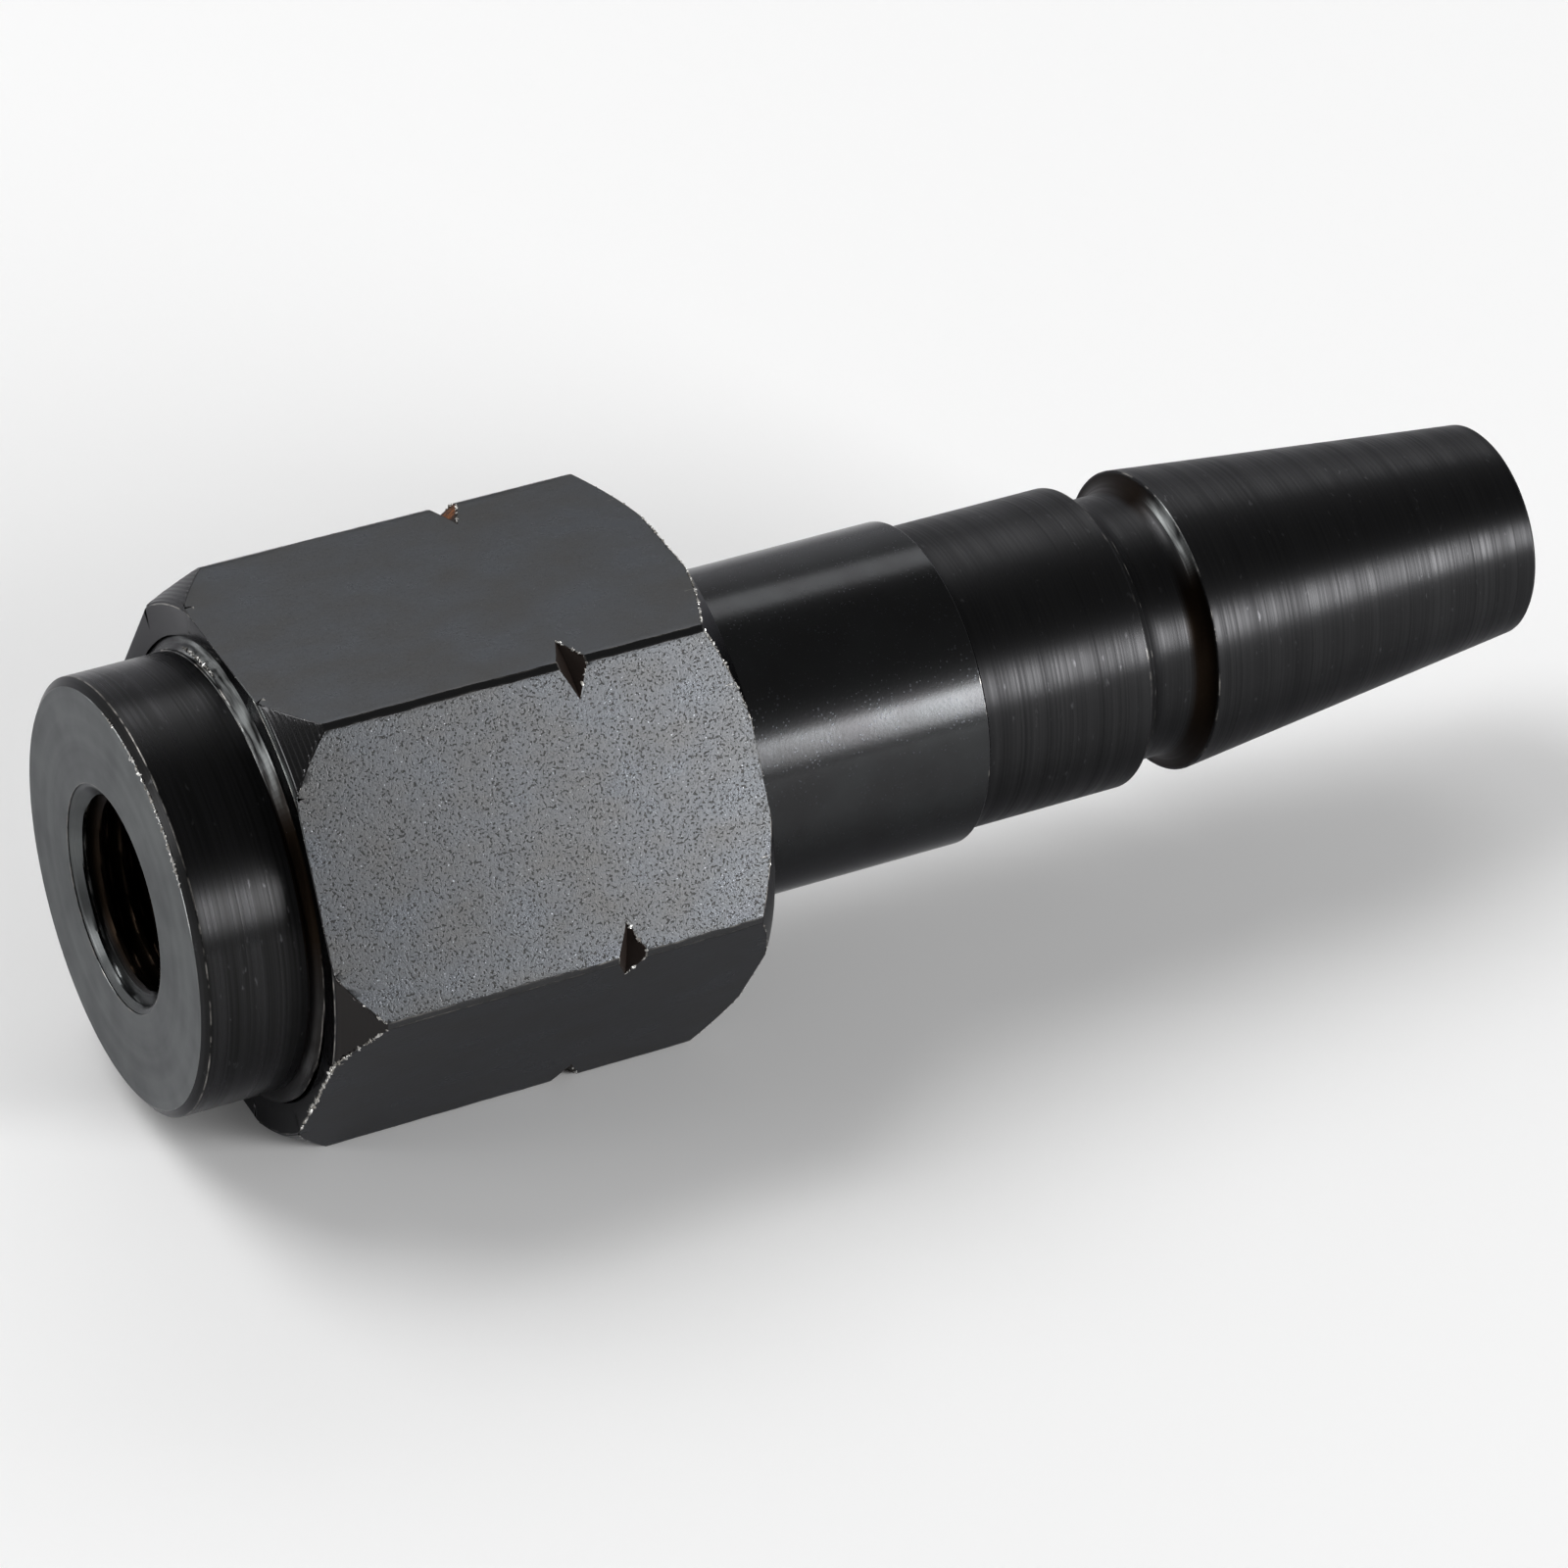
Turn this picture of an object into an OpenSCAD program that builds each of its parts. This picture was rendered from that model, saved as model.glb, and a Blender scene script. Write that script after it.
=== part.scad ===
// Air line coupling: a threaded tail piece, a left-hand union nut and a quick-release plug.
// Millimetres. The axis is X, from the tail's face to the plug's tip, and +Z is up.
// The origin is on the axis, halfway along the coupling.

/* [Tail piece] */
// Step from the plain head up to the union thread, on the radius
thread_step = 1; // [0.3:0.05:2]
// Length of the plain head, from its face to the start of the union thread
head_l = 6.4; // [4:0.05:16]
// Width of the chamfer on the head's outer edge, measured on the radius
head_edge = 0.55; // [0.1:0.05:1]
// Length of that chamfer along the axis
head_edge_l = 0.4; // [0.1:0.05:2]
// Pitch of the union thread
thread_pitch = 1.5; // [1:0.25:2]
// Core diameter of the threaded air port, G 1/4
port_d = 11.445; // [10.4:0.005:14.9]
// Diameter of the port's countersink at the face
port_mouth_d = 13.45; // [12:0.01:16]
// Depth of the port, with its countersink
port_l = 12; // [8:0.5:14]
// Diameter of the counterbore that takes the plug's spigot
seat_d = 16; // [15.4:0.1:19]
// Depth of that counterbore
seat_l = 6; // [5:0.1:8]

/* [Union nut] */
// Hexagon size across flats
hex_af = 30; // [27:0.1:36]
// Wall of the nut over its thread, under the middle of a flat
nut_wall = 0.95; // [0.7:0.05:2]
// Length of the nut
nut_l = 27.8; // [26:0.1:40]
// How far the nut's mouth stands past the start of the thread
nut_standoff = 0.35; // [0.2:0.05:3]
// How far each corner of the hexagon is turned down
corner_cut = 0.12; // [0.05:0.01:0.6]
// Fall of the mouth chamfer below the turned corners
mouth_fall = 1.38; // [0.6:0.01:1.6]
// Length of the mouth chamfer along the axis
mouth_chamfer_l = 2.5; // [1:0.05:4]
// Fall of the exit chamfer below the turned corners
exit_fall = 1.95; // [0.6:0.01:2.1]
// Length of the exit chamfer along the axis
exit_chamfer_l = 1.75; // [1:0.05:4]
// Countersink of the nut's mouth, measured on the radius
mouth_sink = 0.3; // [0.2:0.05:0.6]
// Thickness of the shoulder that pulls on the plug's collar
shoulder_l = 5; // [3:0.1:8]
// Distance of the corner notches from the mouth
notch_x = 17.78; // [6:0.01:22]
// Depth of the corner notches below the turned corners
notch_depth = 0.84; // [0.3:0.01:1.2]
// Width of the corner notches at the turned corners
notch_w = 1.7; // [0.6:0.05:3]

/* [Plug] */
// Diameter of the shank that leaves the nut
shank_d = 19.9; // [19.2:0.1:23]
// Length of the shank that shows past the nut
shank_l = 17.1; // [8:0.05:40]
// Diameter of the locking body and of the cone's base
body_d = 18.7; // [17:0.1:19]
// Length of the locking body, from the shank's step to the groove
body_l = 11.6; // [6:0.05:25]
// Width of the locking groove
groove_w = 4.2; // [3:0.05:6]
// Depth of the locking groove, which is also the radius of its round ends
groove_depth = 1.2; // [0.6:0.05:1.45]
// Length of the cone, from the groove to the tip
cone_l = 24.15; // [12:0.05:40]
// Diameter of the cone at the tip
tip_d = 13.35; // [12:0.05:17]
// Width of the small chamfer at the tip
tip_edge = 0.2; // [0.1:0.05:0.8]
// Width of the edge breaks on the shank and the body
edge = 0.2; // [0.1:0.05:0.5]
// Diameter of the air passage
air_d = 10; // [6:0.1:10.8]
// Thickness of the collar inside the nut
collar_l = 8; // [5:0.1:10]

/* [Seal and fits] */
// Thickness of the squeezed O-ring
seal_w = 1.6; // [1.2:0.05:1.8]
// Width of the O-ring's groove
seal_groove_w = 2.3; // [2:0.05:2.8]
// Radial gap of the threads, the spigot and the O-ring
fit_gap = 0.05; // [0.03:0.01:0.08]
// Radial gap round the shank and the collar, and the gap past the spigot's end
loose_gap = 0.3; // [0.2:0.05:0.5]

/* [Hidden] */
$fn = 96;
black_steel = "#4b4c4f";
satin_steel = "#3f4042";
head_steel = "#63656a";
seal_rubber = "#1c1c1d";
cut = 1;                                             // how far a cutter runs past a face
hex_sides = 6;
thread_height = 1.0825 * thread_pitch;               // loss of diameter from crest to root

// Stations along the axis, from the tail's face
nut_x = head_l + nut_standoff;
nut_end = nut_x + nut_l;
shoulder_x = nut_end - shoulder_l;
tail_end = shoulder_x - collar_l;
seat_x = tail_end - seat_l;
spigot_x = seat_x + loose_gap;
step_x = nut_end + shank_l;
groove_x = step_x + body_l;
cone_x = groove_x + groove_w;
overall_l = cone_x + cone_l;

// Diameters that follow from the ones above
thread_d = hex_af - 2 * (nut_wall + fit_gap);        // major diameter, M28 by 1.5
tail_d = thread_d - 2 * thread_step;
corner_r = hex_af / 2 / cos(180 / hex_sides) - corner_cut;
spigot_d = seat_d - 2 * fit_gap;
seal_r = seat_d / 2 - fit_gap - seal_w / 2;          // radius of the ring's centre line
seal_floor_d = 2 * (seal_r - seal_w / 2 - fit_gap);
collar_d = thread_d - thread_height - loose_gap;     // passes the nut's thread when it is put in
chamber_d = collar_d + 2 * loose_gap;
seal_x = (spigot_x + tail_end) / 2;
edge_floor = 0.35;                                   // what is left of a wall beside a chamfer
tip_break = min(tip_edge, (tip_d - air_d) / 2 - edge_floor);

// A cylinder or cone about the X axis, from x, with its two diameters
module round_x(x, l, d1, d2)
    translate([x, 0, 0])
        rotate([0, 90, 0])
            cylinder(h = l, d1 = d1, d2 = d2);

// An outline of [radius, station] points, turned about the X axis
module turned(points)
    rotate([0, 90, 0])
        rotate_extrude()
            polygon(points);

// Everything is drawn from the tail's face and then centred on the origin
module centred()
    translate([-overall_l / 2, 0, 0])
        children();

module tail_outline()
    turned([
        [0, 0],
        [tail_d / 2 - head_edge, 0],
        [tail_d / 2, head_edge_l],
        [tail_d / 2, head_l],
        [thread_d / 2, head_l + thread_step],
        [thread_d / 2, tail_end - thread_height / 2],
        [thread_d / 2 - thread_height / 2, tail_end],
        [0, tail_end]
    ]);

module tail_piece()
    color(head_steel)
        centred()
            difference() {
                tail_outline();
                // The port: a countersink, the thread's core and the passage behind it
                round_x(0, (port_mouth_d - port_d) / 2, port_mouth_d, port_d);
                round_x(-cut, cut, port_mouth_d, port_mouth_d);
                round_x(0, port_l, port_d, port_d);
                round_x(0, tail_end, air_d, air_d);
                // The counterbore for the spigot, with a lead for the ring
                round_x(seat_x, seat_l + cut, seat_d, seat_d);
                round_x(tail_end - edge, edge, seat_d, seat_d + 2 * edge);
            }

// What the lathe leaves of the bar: both chamfers, the turned corners and the V groove
module nut_envelope()
    turned([
        [0, nut_x],
        [corner_r - mouth_fall, nut_x],
        [corner_r, nut_x + mouth_chamfer_l],
        [corner_r, nut_x + notch_x - notch_w / 2],
        [corner_r - notch_depth, nut_x + notch_x],
        [corner_r, nut_x + notch_x + notch_w / 2],
        [corner_r, nut_end - exit_chamfer_l],
        [corner_r - exit_fall, nut_end],
        [0, nut_end]
    ]);

module hex_bar()
    translate([nut_x - cut, 0, 0])
        rotate([0, 90, 0])
            rotate([0, 0, 180 / hex_sides])
                cylinder(h = nut_l + 2 * cut, d = hex_af / cos(180 / hex_sides), $fn = hex_sides);

module union_nut() {
    bore_d = thread_d + 2 * fit_gap;
    exit_d = shank_d + 2 * loose_gap;
    chamber_x = tail_end + thread_pitch;
    color(black_steel)
        centred()
            difference() {
                intersection() {
                    nut_envelope();
                    hex_bar();
                }
                // The mouth, the thread's bore, the collar's chamber and the shank's hole
                round_x(nut_x - cut, cut, bore_d + 2 * mouth_sink, bore_d + 2 * mouth_sink);
                round_x(nut_x, mouth_sink, bore_d + 2 * mouth_sink, bore_d);
                round_x(nut_x, chamber_x - nut_x, bore_d, bore_d);
                round_x(nut_x, shoulder_x - nut_x, chamber_d, chamber_d);
                round_x(nut_x, nut_l + cut, exit_d, exit_d);
                round_x(nut_end - edge, edge, exit_d, exit_d + 2 * edge);
            }
}

// The locking groove's section, round at both ends, turned about the axis
module locking_groove()
    rotate([0, 90, 0])
        rotate_extrude() {
            floor_r = body_d / 2 - groove_depth;
            for (x = [groove_x + groove_depth, cone_x - groove_depth])
                translate([body_d / 2, x])
                    circle(r = groove_depth);
            translate([floor_r, groove_x + groove_depth])
                square([2 * groove_depth, groove_w - 2 * groove_depth]);
        }

module plug_outline()
    turned([
        [0, spigot_x],
        [spigot_d / 2 - edge, spigot_x],
        [spigot_d / 2, spigot_x + edge],
        [spigot_d / 2, seal_x - seal_groove_w / 2],
        [seal_floor_d / 2, seal_x - seal_groove_w / 2],
        [seal_floor_d / 2, seal_x + seal_groove_w / 2],
        [spigot_d / 2, seal_x + seal_groove_w / 2],
        [spigot_d / 2, tail_end],
        [collar_d / 2, tail_end],
        [collar_d / 2, shoulder_x],
        [shank_d / 2, shoulder_x],
        [shank_d / 2, step_x - edge],
        [shank_d / 2 - edge, step_x],
        [body_d / 2, step_x],
        [body_d / 2, groove_x - 2 * edge],
        [body_d / 2 - 2 * edge, groove_x],
        [body_d / 2, groove_x + groove_w / 2],
        [body_d / 2, cone_x],
        [tip_d / 2, overall_l - tip_break],
        [tip_d / 2 - tip_break, overall_l],
        [0, overall_l]
    ]);

module plug()
    color(satin_steel)
        centred()
            difference() {
                plug_outline();
                locking_groove();
                round_x(0, overall_l + cut, air_d, air_d);
            }

module o_ring()
    color(seal_rubber)
        centred()
            translate([seal_x, 0, 0])
                rotate([0, 90, 0])
                    rotate_extrude()
                        translate([seal_r, 0])
                            circle(d = seal_w);

tail_piece();
union_nut();
plug();
o_ring();
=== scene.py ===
"""Looks of the air line coupling: three turned steel pieces with a worn black oxide finish.

The tail piece, the union nut and the plug are modelled here with their threads, broken edges, turning
ridges and burrs, at the places and sizes of their CAD nodes. The seal inside keeps its CAD solid and is
given rubber.
"""

import math

import bmesh
import bpy
import numpy as np
from mathutils import Matrix, Vector, noise


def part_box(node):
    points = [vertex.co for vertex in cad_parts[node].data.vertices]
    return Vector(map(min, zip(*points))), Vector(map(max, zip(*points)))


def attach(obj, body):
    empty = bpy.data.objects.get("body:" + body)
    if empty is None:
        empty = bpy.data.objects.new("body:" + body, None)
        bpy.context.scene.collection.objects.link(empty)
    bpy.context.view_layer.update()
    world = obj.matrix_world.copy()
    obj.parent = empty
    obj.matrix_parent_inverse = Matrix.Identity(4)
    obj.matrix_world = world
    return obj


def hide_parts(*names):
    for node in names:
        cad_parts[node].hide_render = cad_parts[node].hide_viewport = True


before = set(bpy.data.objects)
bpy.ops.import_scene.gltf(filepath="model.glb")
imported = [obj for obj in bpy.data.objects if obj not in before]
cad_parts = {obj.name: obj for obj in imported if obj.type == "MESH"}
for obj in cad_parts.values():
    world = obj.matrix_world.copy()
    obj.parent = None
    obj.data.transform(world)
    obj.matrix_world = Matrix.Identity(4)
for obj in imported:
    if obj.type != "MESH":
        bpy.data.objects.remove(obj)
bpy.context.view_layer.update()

MM = 0.001
TAU = 2 * math.pi

# Stations on the axis and radii are millimetres from the coupling's middle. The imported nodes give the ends
# and the widest radii, and the other sizes are worked out from those or are the CAD model's own
tail_low, tail_high = (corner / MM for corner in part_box("tail_piece"))
nut_low, nut_high = (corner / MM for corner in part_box("union_nut"))
plug_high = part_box("plug")[1] / MM

# Widths of broken edges
FINE = 0.05
BREAK = 0.12

# Half angles between the flanks of the two threads
METRIC_FLANK = math.radians(30)
PIPE_FLANK = math.radians(27.5)

# Tail piece
FACE_X = tail_low.x
TAIL_END = tail_high.x
THREAD_R = tail_high.y
HEAD_R = THREAD_R - 1.0
HEAD_EDGE = 0.55
HEAD_EDGE_L = 0.4
LEAD_X = FACE_X + 6.4
START_ROUND = 0.7
CREST_R = THREAD_R - 0.03
UNION_PITCH = 1.5
UNION_DEPTH = 0.92
END_CHAMFER = 0.8
PORT_R = 5.7225
PORT_ROOT_R = 6.5785
PORT_MOUTH_R = 6.725
PORT_PITCH = 1.337
PORT_FLOOR_X = FACE_X + 12.0
PORT_RUNOUT = 1.5
SEAT_R = 8.0
SEAT_L = 6.0
SEAT_EDGE = 0.2
AIR_R = 5.0
TAIL_COLUMNS = 240

# Union nut
NUT_X = nut_low.x
NUT_END = nut_high.x
FLAT_R = nut_high.z
CORNER_R = nut_high.y
MOUTH_FACE_R = CORNER_R - 1.38
MOUTH_CHAMFER = 2.5
MOUTH_SINK = 0.3
MOUTH_ROUND = 0.2
EXIT_FACE_R = CORNER_R - 1.95
EXIT_CHAMFER = 1.75
EXIT_EDGE = 0.25
NOTCH_X = NUT_X + 17.78
NOTCH_R = CORNER_R - 0.84
NOTCH_HALF = 0.85
SHOULDER_X = NUT_END - 5.0
THREAD_GAP = 0.05
RIDGE_ROWS = 40
ROWS_TO_A_RIDGE = 4
RIDGE_HEIGHT = 0.028
CORNER_WAVE = 0.22

# The hexagon's angles in degrees: from flat to flat, from a flat's middle to the bar's own sharp corner, and
# from a flat's middle to the edge of the turned corner
FLATS = 6
FLAT_TURN = 360 / FLATS
SHARP_TURN = FLAT_TURN / 2
CORNER_TURN = math.degrees(math.acos(FLAT_R / CORNER_R))

# How far the turned faces of the nut run along the axis for each millimetre of radius
MOUTH_RUN = MOUTH_CHAMFER / (CORNER_R - MOUTH_FACE_R)
EXIT_RUN = EXIT_CHAMFER / (CORNER_R - EXIT_FACE_R)
NOTCH_RUN = NOTCH_HALF / (CORNER_R - NOTCH_R)

# Plug
LOOSE = 0.3
SHANK_R = 9.95
COLLAR_R = plug_high.y
SPIGOT_R = SEAT_R - THREAD_GAP
SEAL_FLOOR_R = 6.3
SEAL_HALF = 1.15
STEP_X = NUT_END + 17.1
STEP_EDGE = 0.2
STEP_EDGE_L = 0.15
BODY_R = 9.35
GROOVE_X = STEP_X + 11.6
GROOVE_LEAD = 0.4
GROOVE_R = 1.2
CONE_X = GROOVE_X + 4.2
TIP_X = plug_high.x
TIP_R = 6.675
TIP_EDGE = 0.2
BORE_EDGE = 0.3
PLUG_COLUMNS = 288

# Colours that several materials share
OXIDE_SHEEN = "#d2d2d4"
WORN_STEEL = "#8f8c88"

# The settings of a mix of colours, whose inputs are 0 for the share and 6 and 7 for the colours
COLOURS = {"out": 2, "data_type": "RGBA"}


def linear(hex_colour):
    """An sRGB hex colour as the linear RGBA that the shaders take."""
    value = int(hex_colour.lstrip("#"), 16)
    channels = [(value >> shift & 255) / 255 for shift in (16, 8, 0)]
    return [c / 12.92 if c <= 0.04045 else ((c + 0.055) / 1.055) ** 2.4 for c in channels] + [1.0]


# Meshes


def wrapped_mesh(name, x, r, turn):
    """A closed skin from grids of station, radius and angle.

    Rows go along the section, and columns go round the axis.
    """
    rows, columns = x.shape
    turn = np.broadcast_to(turn, x.shape)
    points = np.stack([x, r * np.cos(turn), r * np.sin(turn)], axis=2).reshape(-1, 3) * MM
    row, column = np.meshgrid(np.arange(rows), np.arange(columns), indexing="ij")
    after = (row + 1) % rows
    right = (column + 1) % columns
    quads = np.stack([
        row * columns + column, row * columns + right, after * columns + right, after * columns + column,
    ], axis=2).reshape(-1, 4)
    close = 1e-4 * MM
    mesh = bpy.data.meshes.new(name)
    mesh.from_pydata(points.tolist(), [], quads.tolist())
    work = bmesh.new()
    work.from_mesh(mesh)
    bmesh.ops.remove_doubles(work, verts=work.verts, dist=close)
    bmesh.ops.dissolve_degenerate(work, edges=work.edges, dist=close)
    bmesh.ops.recalc_face_normals(work, faces=work.faces)
    for face in work.faces:
        face.smooth = True
    work.to_mesh(mesh)
    work.free()
    return mesh


def even_turn(columns):
    """Angles of evenly spaced columns."""
    return np.arange(columns) / columns * TAU


def soften(corners, steps=3):
    """Points of an outline whose corners (x, r, radius) are rounded; a corner with no radius stays sharp."""
    rounded = []
    count = len(corners)
    share_of_side = 0.45
    for i, (x, r, radius) in enumerate(corners):
        here = Vector((x, r))
        before = Vector(corners[i - 1][:2]) - here
        after = Vector(corners[(i + 1) % count][:2]) - here
        if radius == 0 or before.length < 1e-6 or after.length < 1e-6:
            rounded.append((x, r))
            continue
        half = before.angle(after) / 2
        room = min(before.length, after.length) * share_of_side
        reach = min(radius / math.tan(half), room)
        start = here + before.normalized() * reach
        end = here + after.normalized() * reach
        for step in range(steps + 1):
            t = step / steps
            rounded.append(tuple(start * (1 - t) ** 2 + here * 2 * t * (1 - t) + end * t * t))
    return rounded


def arc(centre_x, centre_r, radius, start, end, steps):
    """Points of a circular arc in the outline's plane, angles in degrees from +X towards +r."""
    angles = np.radians(np.linspace(start, end, steps + 1))
    return [(centre_x + radius * math.cos(a), centre_r + radius * math.sin(a), 0) for a in angles]


def turned_rows(points, columns):
    """The same outline at every angle."""
    x = np.repeat(np.array([p[0] for p in points])[:, None], columns, axis=1)
    r = np.repeat(np.array([p[1] for p in points])[:, None], columns, axis=1)
    return x, r


def thread_fall(stations, turn, pitch, hand, depth, half_angle):
    """How far a V thread lies below its crest at each station and angle.

    Its hand is 1 for right and -1 for left, and its crests are flat over an eighth of the pitch.
    """
    phase = (stations[:, None] / pitch - hand * turn[None, :] / TAU) % 1.0
    from_crest = np.abs(phase - 0.5) * pitch
    return np.clip((from_crest - pitch / 16) / math.tan(half_angle), 0, depth)


def finished_piece(name, mesh, sharp=32, bevel=0.0):
    """An object from a rough mesh: weighted edges broken, normals evened and narrow edge faces marked."""
    mesh.set_sharp_from_angle(angle=math.radians(sharp))
    rough = bpy.data.objects.new(name + "_rough", mesh)
    bpy.context.scene.collection.objects.link(rough)
    if bevel:
        breaker = rough.modifiers.new("edge_break", "BEVEL")
        breaker.limit_method = "WEIGHT"
        breaker.width = bevel * MM
        breaker.segments = 2
        breaker.use_clamp_overlap = False
    even = rough.modifiers.new("even_shading", "WEIGHTED_NORMAL")
    even.keep_sharp = True
    bpy.context.view_layer.update()
    evaluated = rough.evaluated_get(bpy.context.evaluated_depsgraph_get())
    finished = bpy.data.meshes.new_from_object(evaluated)
    finished.name = name
    bpy.data.objects.remove(rough)
    mark_edges(finished)
    piece = bpy.data.objects.new(name, finished)
    bpy.context.scene.collection.objects.link(piece)
    return piece


def mark_edges(mesh, low=9.0, high=24.0, widest=0.09):
    """Writes the attribute edge: up to 1 on the narrow faces where an edge is broken, 0 on all others."""
    faces = len(mesh.polygons)
    edge_of = np.empty(len(mesh.loops), dtype=np.int32)
    totals = np.empty(faces, dtype=np.int32)
    normals = np.empty(faces * 3)
    areas = np.empty(faces)
    ends = np.empty(len(mesh.edges) * 2, dtype=np.int32)
    points = np.empty(len(mesh.vertices) * 3)
    mesh.loops.foreach_get("edge_index", edge_of)
    mesh.polygons.foreach_get("loop_total", totals)
    mesh.polygons.foreach_get("normal", normals)
    mesh.polygons.foreach_get("area", areas)
    mesh.edges.foreach_get("vertices", ends)
    mesh.vertices.foreach_get("co", points)
    normals = normals.reshape(-1, 3)
    points = points.reshape(-1, 3)
    ends = ends.reshape(-1, 2)
    face_of = np.repeat(np.arange(faces), totals)
    order = np.argsort(edge_of, kind="stable")
    paired = edge_of[order][:-1] == edge_of[order][1:]
    first, second = face_of[order[:-1][paired]], face_of[order[1:][paired]]
    bend = np.degrees(np.arccos(np.clip(np.sum(normals[first] * normals[second], axis=1), -1, 1)))
    sharpest = np.zeros(faces)
    np.maximum.at(sharpest, first, bend)
    np.maximum.at(sharpest, second, bend)
    lengths = np.linalg.norm(points[ends[:, 0]] - points[ends[:, 1]], axis=1)
    longest = np.full(faces, 1e-9)
    np.maximum.at(longest, face_of, lengths[edge_of])
    narrow = areas / longest < widest * MM
    values = np.clip((sharpest - low) / (high - low), 0, 1) * narrow
    mesh.attributes.new("edge", "FLOAT", "FACE").data.foreach_set("value", values)


def make_plug():
    """The plug: spigot, seal groove, collar, shank, locking body, groove and cone, in one turned outline."""
    spigot_x = TAIL_END - SEAT_L + LOOSE
    seal_x = (spigot_x + TAIL_END) / 2
    outline = [
        (spigot_x, AIR_R, FINE), (spigot_x, SPIGOT_R, BREAK),
        (seal_x - SEAL_HALF, SPIGOT_R, FINE), (seal_x - SEAL_HALF, SEAL_FLOOR_R, FINE),
        (seal_x + SEAL_HALF, SEAL_FLOOR_R, FINE), (seal_x + SEAL_HALF, SPIGOT_R, FINE),
        (TAIL_END, SPIGOT_R, 0), (TAIL_END, COLLAR_R, BREAK), (SHOULDER_X, COLLAR_R, BREAK),
        (SHOULDER_X, SHANK_R, 0), (STEP_X - STEP_EDGE_L, SHANK_R, BREAK),
        (STEP_X, SHANK_R - STEP_EDGE, FINE), (STEP_X, BODY_R, FINE),
        (GROOVE_X - GROOVE_LEAD, BODY_R, 0.25), (GROOVE_X, BODY_R - GROOVE_LEAD, 0.2),
    ]
    outline += arc(GROOVE_X + GROOVE_R, BODY_R, GROOVE_R, 202, 270, 9)
    outline += arc(CONE_X - GROOVE_R, BODY_R, GROOVE_R, 270, 352, 12)
    outline += [
        (CONE_X, BODY_R, BREAK), (TIP_X - TIP_EDGE, TIP_R, BREAK), (TIP_X, TIP_R - TIP_EDGE, FINE),
        (TIP_X, AIR_R + BORE_EDGE, FINE), (TIP_X - BORE_EDGE, AIR_R, FINE),
    ]
    x, r = turned_rows(soften(outline), PLUG_COLUMNS)
    piece = finished_piece("plug_turned", wrapped_mesh("plug_turned", x, r, even_turn(PLUG_COLUMNS)))
    mark_plug(piece.data)
    return piece


def mark_plug(mesh):
    """Marks where the plug has wear with a painted highlight, and where it has painted shade."""
    upper = 108

    def wear_and_highlight(x, r, turn):
        """The upper edge of the cone's base: a burnished nick with a painted highlight."""
        base = (x > CONE_X - 0.6) * (x < CONE_X + 0.2) * (r > BODY_R - 0.8)
        return 0.6 * base * window(turn, upper, 22)

    def painted_shade(x, r, turn):
        """Painted shade on the groove's wall below that edge, all round but there."""
        wall = np.clip((x - CONE_X + 1.3) / 0.5, 0, 1) * (x < CONE_X - 0.02)
        return wall * (1 - window(turn, upper, 26))

    write_on_faces(mesh, "wear_and_highlight", wear_and_highlight)
    write_on_faces(mesh, "painted_shade", painted_shade)


def make_tail():
    """The tail piece: plain head, left-hand union thread outside, G 1/4 port and seal counterbore inside."""
    turn = even_turn(TAIL_COLUMNS)
    head = [
        (FACE_X, PORT_MOUTH_R + 0.02, FINE), (FACE_X, HEAD_R - HEAD_EDGE, 0.13),
        (FACE_X + HEAD_EDGE_L, HEAD_R, 0.1), (LEAD_X - 0.1, HEAD_R, 0), (LEAD_X, HEAD_R, 0),
    ]
    seat = [
        (TAIL_END, THREAD_R - END_CHAMFER - FINE, 0), (TAIL_END, SEAT_R + SEAT_EDGE, FINE),
        (TAIL_END - SEAT_EDGE, SEAT_R, FINE), (TAIL_END - SEAT_L, SEAT_R, 0),
        (TAIL_END - SEAT_L, AIR_R, FINE), (PORT_FLOOR_X, AIR_R, FINE), (PORT_FLOOR_X, PORT_R + 0.5, 0),
    ]
    parts = [
        turned_rows(soften(head), TAIL_COLUMNS), union_thread(turn),
        turned_rows(soften(seat), TAIL_COLUMNS), port_thread(turn),
    ]
    x = np.concatenate([part[0] for part in parts])
    r = np.concatenate([part[1] for part in parts])
    piece = finished_piece("tail_turned", wrapped_mesh("tail_turned", x, r, turn), sharp=40)
    mark_tail(piece.data)
    return piece


def union_thread(turn):
    """Stations and radii of the tail's left-hand thread.

    The turned start of the thread rises in a quarter round, and its last turn runs out at the end chamfer.
    """
    fine_steps = np.arange(LEAD_X + 0.03, LEAD_X + 1.2, 0.06)
    stations = np.concatenate([fine_steps, np.arange(LEAD_X + 1.2, TAIL_END - 0.02, 0.11)])
    rise = np.clip((stations - LEAD_X) / START_ROUND, 0, 1)
    start = HEAD_R + (CREST_R - HEAD_R) * np.sqrt(1 - (1 - rise) ** 2)
    end = THREAD_R - END_CHAMFER + (TAIL_END - stations)
    flanks = CREST_R - thread_fall(stations, turn, UNION_PITCH, -1, UNION_DEPTH, METRIC_FLANK)
    r = np.minimum(np.minimum(start, end)[:, None], flanks)
    return np.repeat(stations[:, None], len(turn), axis=1), r


def port_thread(turn):
    """Stations and radii of the air port's right-hand thread, from its runout to the countersink."""
    stations = np.arange(PORT_FLOOR_X - 0.1, FACE_X + 0.03, -0.09)
    depth = PORT_ROOT_R - PORT_R
    mouth = PORT_MOUTH_R - (stations - FACE_X)
    fall = thread_fall(stations, turn, PORT_PITCH, 1, depth, PIPE_FLANK)
    runout = np.clip((PORT_FLOOR_X - PORT_RUNOUT - stations) / 0.4, 0, 1)[:, None]
    r = np.maximum(mouth[:, None], PORT_R + (depth - fall) * runout)
    return np.repeat(stations[:, None], len(turn), axis=1), r


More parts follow.
